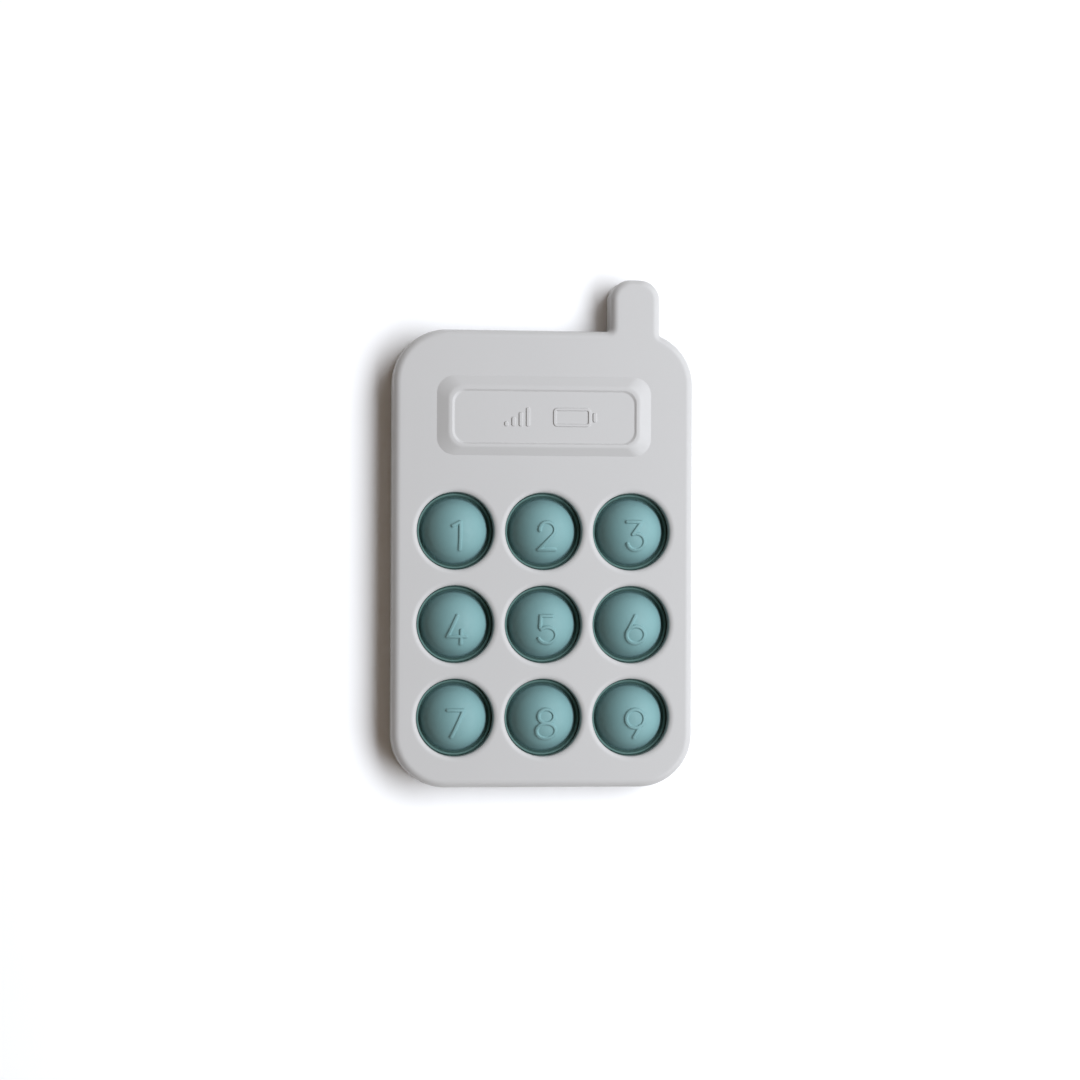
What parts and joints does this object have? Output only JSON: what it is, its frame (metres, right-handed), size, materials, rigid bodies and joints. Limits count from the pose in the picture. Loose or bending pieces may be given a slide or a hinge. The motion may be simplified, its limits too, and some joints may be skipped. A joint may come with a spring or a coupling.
{
  "type": "toy cell phone",
  "caption": "Toddler's press toy shaped like a small mobile phone, with a stub antenna, a plain raised screen frame and numbered silicone bubbles that pop through the body.",
  "frame": {"origin": "on the plane that the phone's back rests on, under the middle of the body and antenna together", "axes": "+X across the phone, towards the antenna's side; +Y up the phone, towards the antenna; +Z out of the face, so the phone lies on its back"},
  "size_m": [0.0874, 0.1472, 0.0149],
  "materials": {
    "cream_plastic": "fine matte, warm off-white",
    "teal_silicone": "satin silicone, grey teal",
    "screw_steel": "zinc-plated"
  },
  "bodies": {
    "phone": {"front_shell": "cream_plastic", "rear_shell": "cream_plastic", "bubble_sheet": "teal_silicone", "bubble_wall_1": "teal_silicone", "bubble_wall_2": "teal_silicone", "bubble_wall_3": "teal_silicone", "bubble_wall_4": "teal_silicone", "bubble_wall_5": "teal_silicone", "bubble_wall_6": "teal_silicone", "bubble_wall_7": "teal_silicone", "bubble_wall_8": "teal_silicone", "bubble_wall_9": "teal_silicone", "shell_screw_1": "screw_steel", "shell_screw_2": "screw_steel", "shell_screw_3": "screw_steel", "shell_screw_4": "screw_steel", "shell_screw_5": "screw_steel", "shell_screw_6": "screw_steel"},
    "bubble_1": {"bubble_cap_1": "teal_silicone"},
    "bubble_2": {"bubble_cap_2": "teal_silicone"},
    "bubble_3": {"bubble_cap_3": "teal_silicone"},
    "bubble_4": {"bubble_cap_4": "teal_silicone"},
    "bubble_5": {"bubble_cap_5": "teal_silicone"},
    "bubble_6": {"bubble_cap_6": "teal_silicone"},
    "bubble_7": {"bubble_cap_7": "teal_silicone"},
    "bubble_8": {"bubble_cap_8": "teal_silicone"},
    "bubble_9": {"bubble_cap_9": "teal_silicone"}
  },
  "joints": [
    {"name": "press_1", "type": "slide", "parent": "phone", "child": "bubble_1", "axis": [0, 0, -1], "range_m": [0, 0.0132], "deforming": ["bubble_wall_1"]},
    {"name": "press_2", "type": "slide", "parent": "phone", "child": "bubble_2", "axis": [0, 0, -1], "range_m": [0, 0.0132], "deforming": ["bubble_wall_2"]},
    {"name": "press_3", "type": "slide", "parent": "phone", "child": "bubble_3", "axis": [0, 0, -1], "range_m": [0, 0.0132], "deforming": ["bubble_wall_3"]},
    {"name": "press_4", "type": "slide", "parent": "phone", "child": "bubble_4", "axis": [0, 0, -1], "range_m": [0, 0.0132], "deforming": ["bubble_wall_4"]},
    {"name": "press_5", "type": "slide", "parent": "phone", "child": "bubble_5", "axis": [0, 0, -1], "range_m": [0, 0.0132], "deforming": ["bubble_wall_5"]},
    {"name": "press_6", "type": "slide", "parent": "phone", "child": "bubble_6", "axis": [0, 0, -1], "range_m": [0, 0.0132], "deforming": ["bubble_wall_6"]},
    {"name": "press_7", "type": "slide", "parent": "phone", "child": "bubble_7", "axis": [0, 0, -1], "range_m": [0, 0.0132], "deforming": ["bubble_wall_7"]},
    {"name": "press_8", "type": "slide", "parent": "phone", "child": "bubble_8", "axis": [0, 0, -1], "range_m": [0, 0.0132], "deforming": ["bubble_wall_8"]},
    {"name": "press_9", "type": "slide", "parent": "phone", "child": "bubble_9", "axis": [0, 0, -1], "range_m": [0, 0.0132], "deforming": ["bubble_wall_9"]}
  ]
}
